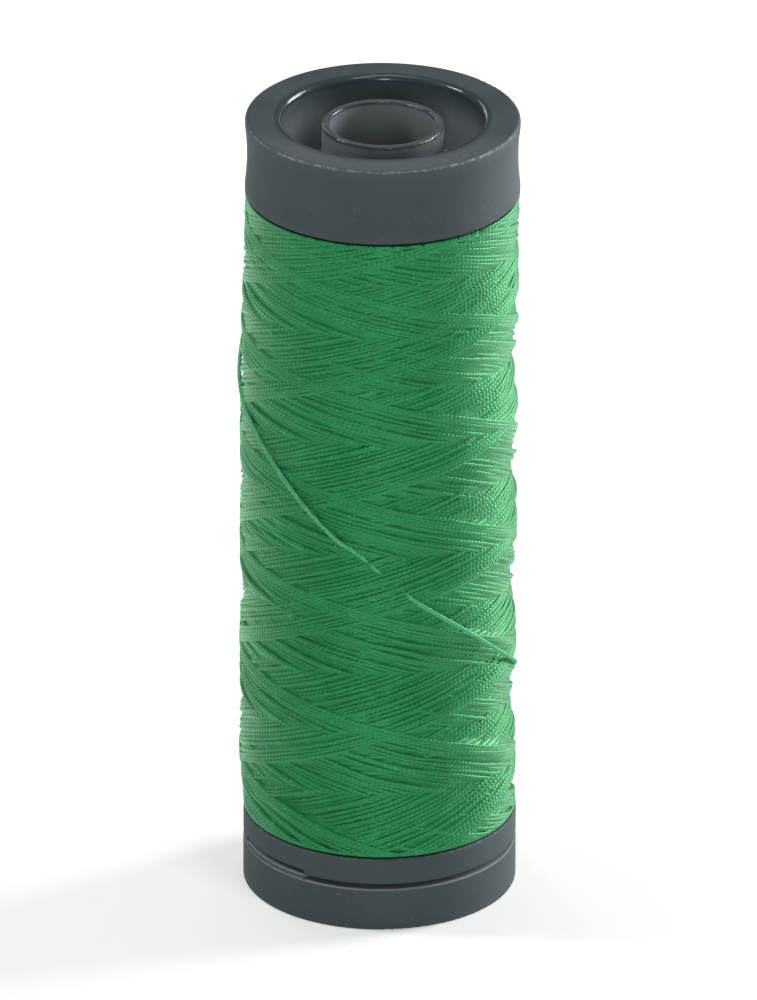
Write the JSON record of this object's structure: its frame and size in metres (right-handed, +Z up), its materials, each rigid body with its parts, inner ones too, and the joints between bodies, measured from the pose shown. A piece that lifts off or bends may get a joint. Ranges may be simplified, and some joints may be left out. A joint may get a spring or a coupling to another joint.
{
  "type": "thread spool",
  "caption": "Small cylindrical spool of cross-wound green thread on a charcoal plastic body, with a snap base that locks the thread end.",
  "frame": {"origin": "centre of the foot ring, on the surface the spool stands on", "axes": "+Z up along the spool's axis; -Y is the front of the picture, +X its right"},
  "size_m": [0.0188, 0.0188, 0.0545],
  "materials": {
    "charcoal_plastic": "satin moulded, charcoal",
    "green_thread": "soft cross-wound polyester thread"
  },
  "bodies": {
    "spool": {"barrel": "charcoal_plastic", "top_flange": "charcoal_plastic", "bottom_flange": "charcoal_plastic", "spindle_sleeve": "charcoal_plastic", "thread_core": "green_thread", "thread_winding": "green_thread", "thread_tail": "green_thread"},
    "base_cap": {"lock_cap": "charcoal_plastic"}
  },
  "joints": [
    {"name": "lock_slide", "type": "slide", "parent": "spool", "child": "base_cap", "axis": [0, 0, -1], "range_m": [0, 0.0012]}
  ]
}
